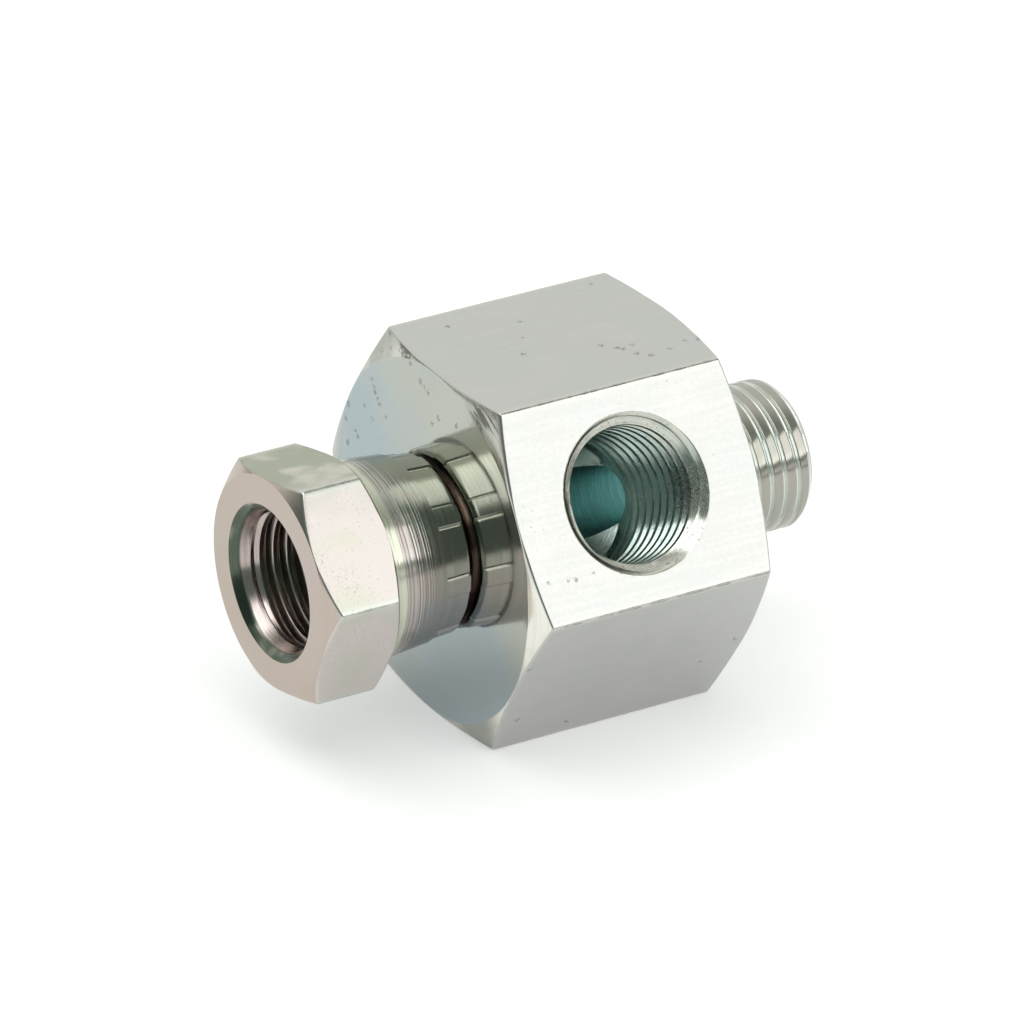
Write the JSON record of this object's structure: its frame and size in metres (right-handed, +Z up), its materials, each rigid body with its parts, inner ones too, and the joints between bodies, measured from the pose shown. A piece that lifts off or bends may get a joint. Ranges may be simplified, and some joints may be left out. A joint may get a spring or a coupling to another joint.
{
  "type": "test point adapter",
  "caption": "In-line hydraulic test point adapter: a hexagon body with a threaded test port in one flat, a male stud at one end and a crimped swivel nut at the other.",
  "frame": {"origin": "centre of the flat that the body rests on, straight under the point where the flow axis and the test port's axis cross", "axes": "+X along the flow axis, from the swivel nut to the male stud; +Z up, square to the flat that it rests on; the test port points to -Y, 30 degrees above level"},
  "size_m": [0.05, 0.037, 0.032],
  "materials": {
    "body_steel": "clear zinc plate, satin with fine drawing lines",
    "nut_steel": "zinc plate with a faint straw and pink passivation tint"
  },
  "bodies": {
    "body": {"adapter_body": "body_steel"},
    "nut": {"swivel_nut": "nut_steel"}
  },
  "joints": [
    {"name": "nut_swivel", "type": "hinge", "parent": "body", "child": "nut", "pos_m": [-0.01972, 0, 0.016], "axis": [1, 0, 0], "continuous": true}
  ]
}
